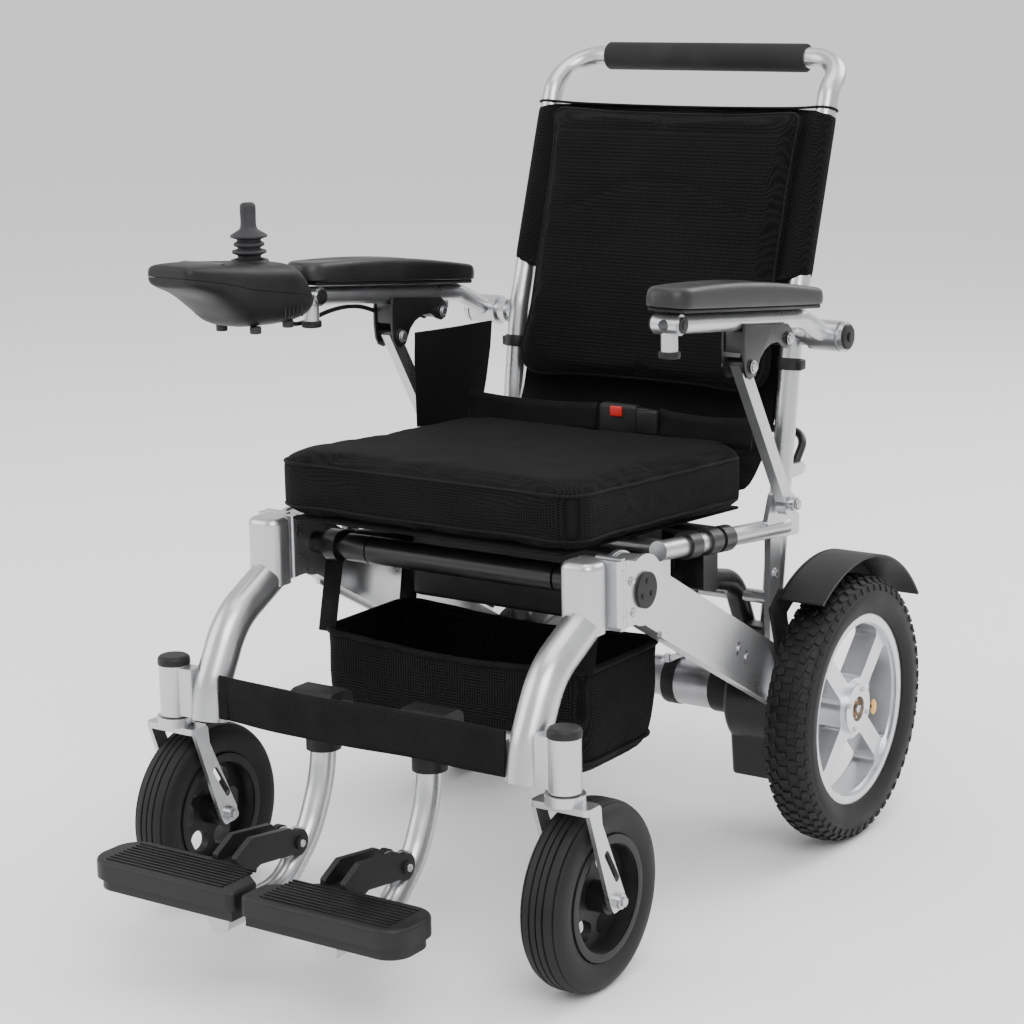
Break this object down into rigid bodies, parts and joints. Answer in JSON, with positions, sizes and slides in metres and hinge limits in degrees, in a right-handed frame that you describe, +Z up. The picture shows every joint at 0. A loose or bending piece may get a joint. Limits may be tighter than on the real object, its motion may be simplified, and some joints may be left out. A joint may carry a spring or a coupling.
{
  "type": "power wheelchair",
  "caption": "Folding power wheelchair with padded seat and backrest, flip-up armrests, joystick, swivel casters, powered rear wheels and flip-up footplates.",
  "frame": {"origin": "on the floor under the middle of the chair's box", "axes": "+Z up, the chair faces -Y, its left side is +X"},
  "size_m": [0.5916, 0.955, 0.923],
  "materials": {
    "silver": "satin silver paint over aluminium tube",
    "alloy": "cast and machined alloy",
    "steel": "plated steel",
    "black_frame": "black powder coat",
    "black_plastic": "fine textured moulded plastic",
    "pad_vinyl": "grained vinyl over foam",
    "grip_foam": "soft foam rubber",
    "mesh_fabric": "spacer mesh fabric over foam",
    "net_fabric": "open net fabric",
    "webbing": "woven webbing",
    "tyre_rubber": "moulded rubber",
    "battery_case": "moulded plastic",
    "button_rubber": "soft touch"
  },
  "bodies": {
    "base_frame": {"side_beams": "silver", "fold_cross_tube": "black_frame", "seat_frame": "silver", "inner_frame": "black_frame", "seat_cushion": "mesh_fabric", "seat_sling": "mesh_fabric", "storage_basket": "net_fabric", "drive_motors": "steel", "gear_housings": "black_frame", "rear_fenders": "black_plastic", "battery_pack": "battery_case", "lap_belt": "webbing", "belt_buckle": "black_plastic"},
    "front_frame": {"front_legs": "silver", "leg_sockets": "silver", "frame_caps": "black_plastic", "front_crossbar": "silver", "calf_strap": "webbing", "footrest_clamps": "black_plastic", "footrest_tubes": "silver"},
    "back_frame": {"back_tube": "silver", "push_grip": "grip_foam", "back_cover": "mesh_fabric", "back_pad": "mesh_fabric", "side_guard": "mesh_fabric"},
    "controller": {"control_top": "black_plastic", "control_base": "black_plastic", "control_bar": "black_frame"},
    "gimbal": {"stick_gimbal": "black_plastic"},
    "stick": {"joystick": "button_rubber"},
    "power_button": {"power_button": "button_rubber"},
    "horn_button": {"horn_button": "button_rubber"},
    "speed_rocker": {"speed_rocker": "button_rubber"},
    "back_release": {"back_release": "black_frame"},
    "arm_carrier_left": {"arm_pivot_left": "silver"},
    "arm_left": {"arm_tube_left": "silver", "arm_pad_left": "pad_vinyl", "arm_bracket_left": "black_frame"},
    "strut_left": {"arm_strut_left": "silver"},
    "caster_left": {"caster_fork_left": "silver"},
    "caster_wheel_left": {"caster_rim_left": "black_plastic", "caster_tyre_left": "tyre_rubber"},
    "drive_wheel_left": {"wheel_rim_left": "alloy", "wheel_tyre_left": "tyre_rubber"},
    "footplate_left": {"footplate_left": "black_plastic"},
    "freewheel_left": {"freewheel_lever_left": "steel"},
    "clamp_left": {"clamp_lever_left": "black_frame"},
    "arm_carrier_right": {"arm_pivot_right": "silver"},
    "arm_right": {"arm_tube_right": "silver", "arm_pad_right": "pad_vinyl", "arm_bracket_right": "black_frame"},
    "strut_right": {"arm_strut_right": "silver"},
    "caster_right": {"caster_fork_right": "silver"},
    "caster_wheel_right": {"caster_rim_right": "black_plastic", "caster_tyre_right": "tyre_rubber"},
    "drive_wheel_right": {"wheel_rim_right": "alloy", "wheel_tyre_right": "tyre_rubber"},
    "footplate_right": {"footplate_right": "black_plastic"},
    "freewheel_right": {"freewheel_lever_right": "steel"},
    "clamp_right": {"clamp_lever_right": "black_frame"}
  },
  "joints": [
    {"name": "front_fold", "type": "hinge", "parent": "base_frame", "child": "front_frame", "pos_m": [0, -0.083, 0.385], "axis": [-1, 0, 0], "range_deg": [-50, 0], "deforming": ["storage_basket", "calf_strap"]},
    {"name": "back_fold", "type": "hinge", "parent": "base_frame", "child": "back_frame", "pos_m": [0, 0.2905, 0.378], "axis": [-1, 0, 0], "range_deg": [-78, 0], "deforming": ["seat_cushion", "seat_sling", "lap_belt", "belt_buckle", "side_guard", "back_cover", "back_pad"]},
    {"name": "arm_level_left", "type": "hinge", "parent": "back_frame", "child": "arm_carrier_left", "pos_m": [0, 0.3245, 0.598], "axis": [-1, 0, 0], "range_deg": [0, 78]},
    {"name": "arm_flip_left", "type": "hinge", "parent": "arm_carrier_left", "child": "arm_left", "pos_m": [0, 0.3245, 0.598], "axis": [-1, 0, 0], "range_deg": [0, 95]},
    {"name": "strut_fold_left", "type": "hinge", "parent": "base_frame", "child": "strut_left", "pos_m": [0, 0.2265, 0.419], "axis": [-1, 0, 0], "range_deg": [-58, 0]},
    {"name": "caster_swivel_left", "type": "hinge", "parent": "front_frame", "child": "caster_left", "pos_m": [0.2548, -0.2681, 0.24], "axis": [0, 0, 1], "continuous": true},
    {"name": "caster_spin_left", "type": "hinge", "parent": "caster_left", "child": "caster_wheel_left", "pos_m": [0.2548, -0.2253, 0.1], "axis": [-1, 0, 0], "continuous": true},
    {"name": "wheel_spin_left", "type": "hinge", "parent": "base_frame", "child": "drive_wheel_left", "pos_m": [0.2673, 0.3185, 0.159], "axis": [-1, 0, 0], "continuous": true},
    {"name": "footplate_flip_left", "type": "hinge", "parent": "front_frame", "child": "footplate_left", "pos_m": [0.07, -0.3075, 0.122], "axis": [-1, 0, 0], "range_deg": [0, 80]},
    {"name": "freewheel_turn_left", "type": "hinge", "parent": "base_frame", "child": "freewheel_left", "pos_m": [0.045, 0.3185, 0.19], "axis": [0, 0, 1], "range_deg": [0, 80]},
    {"name": "clamp_turn_left", "type": "hinge", "parent": "base_frame", "child": "clamp_left", "pos_m": [0.176, 0.1125, 0.315], "axis": [0, 0, 1], "range_deg": [0, 100]},
    {"name": "arm_level_right", "type": "hinge", "parent": "back_frame", "child": "arm_carrier_right", "pos_m": [0, 0.3245, 0.598], "axis": [-1, 0, 0], "range_deg": [0, 78]},
    {"name": "arm_flip_right", "type": "hinge", "parent": "arm_carrier_right", "child": "arm_right", "pos_m": [0, 0.3245, 0.598], "axis": [-1, 0, 0], "range_deg": [0, 95]},
    {"name": "strut_fold_right", "type": "hinge", "parent": "base_frame", "child": "strut_right", "pos_m": [0, 0.2265, 0.419], "axis": [-1, 0, 0], "range_deg": [-58, 0]},
    {"name": "caster_swivel_right", "type": "hinge", "parent": "front_frame", "child": "caster_right", "pos_m": [-0.2548, -0.2681, 0.24], "axis": [0, 0, 1], "continuous": true},
    {"name": "caster_spin_right", "type": "hinge", "parent": "caster_right", "child": "caster_wheel_right", "pos_m": [-0.2548, -0.2253, 0.1], "axis": [-1, 0, 0], "continuous": true},
    {"name": "wheel_spin_right", "type": "hinge", "parent": "base_frame", "child": "drive_wheel_right", "pos_m": [-0.2673, 0.3185, 0.159], "axis": [-1, 0, 0], "continuous": true},
    {"name": "footplate_flip_right", "type": "hinge", "parent": "front_frame", "child": "footplate_right", "pos_m": [-0.07, -0.3075, 0.122], "axis": [-1, 0, 0], "range_deg": [0, 80]},
    {"name": "freewheel_turn_right", "type": "hinge", "parent": "base_frame", "child": "freewheel_right", "pos_m": [-0.045, 0.3185, 0.19], "axis": [0, 0, 1], "range_deg": [0, 80]},
    {"name": "clamp_turn_right", "type": "hinge", "parent": "base_frame", "child": "clamp_right", "pos_m": [-0.176, 0.1125, 0.315], "axis": [0, 0, -1], "range_deg": [0, 100]},
    {"name": "control_reach", "type": "slide", "parent": "arm_right", "child": "controller", "axis": [0, -1, 0], "range_m": [0, 0.012]},
    {"name": "stick_pitch", "type": "hinge", "parent": "controller", "child": "gimbal", "pos_m": [-0.236, -0.1365, 0.69], "axis": [1, 0, 0], "range_deg": [-15, 15], "stiffness_Nm_per_rad": 0.15},
    {"name": "stick_roll", "type": "hinge", "parent": "gimbal", "child": "stick", "pos_m": [-0.236, -0.1365, 0.69], "axis": [0, 1, 0], "range_deg": [-15, 15], "stiffness_Nm_per_rad": 0.15},
    {"name": "power_press", "type": "slide", "parent": "controller", "child": "power_button", "axis": [0, 0, -1], "range_m": [0, 0.0012], "stiffness_N_per_m": 300},
    {"name": "horn_press", "type": "slide", "parent": "controller", "child": "horn_button", "axis": [0, 0, -1], "range_m": [0, 0.0012], "stiffness_N_per_m": 300},
    {"name": "speed_rock", "type": "hinge", "parent": "controller", "child": "speed_rocker", "pos_m": [-0.236, -0.2335, 0.709], "axis": [0, 1, 0], "range_deg": [-5, 5], "stiffness_Nm_per_rad": 0.1},
    {"name": "release_turn", "type": "hinge", "parent": "back_frame", "child": "back_release", "pos_m": [0, 0.3325, 0.438], "axis": [1, 0, 0], "range_deg": [0, 20], "stiffness_Nm_per_rad": 0.5}
  ],
  "couplings": [
    {"joint": "back_fold", "follows": "front_fold", "ratio": 1.56},
    {"joint": "arm_level_left", "follows": "front_fold", "ratio": -1.56},
    {"joint": "strut_fold_left", "follows": "front_fold", "ratio": 1.16},
    {"joint": "arm_level_right", "follows": "front_fold", "ratio": -1.56},
    {"joint": "strut_fold_right", "follows": "front_fold", "ratio": 1.16}
  ]
}
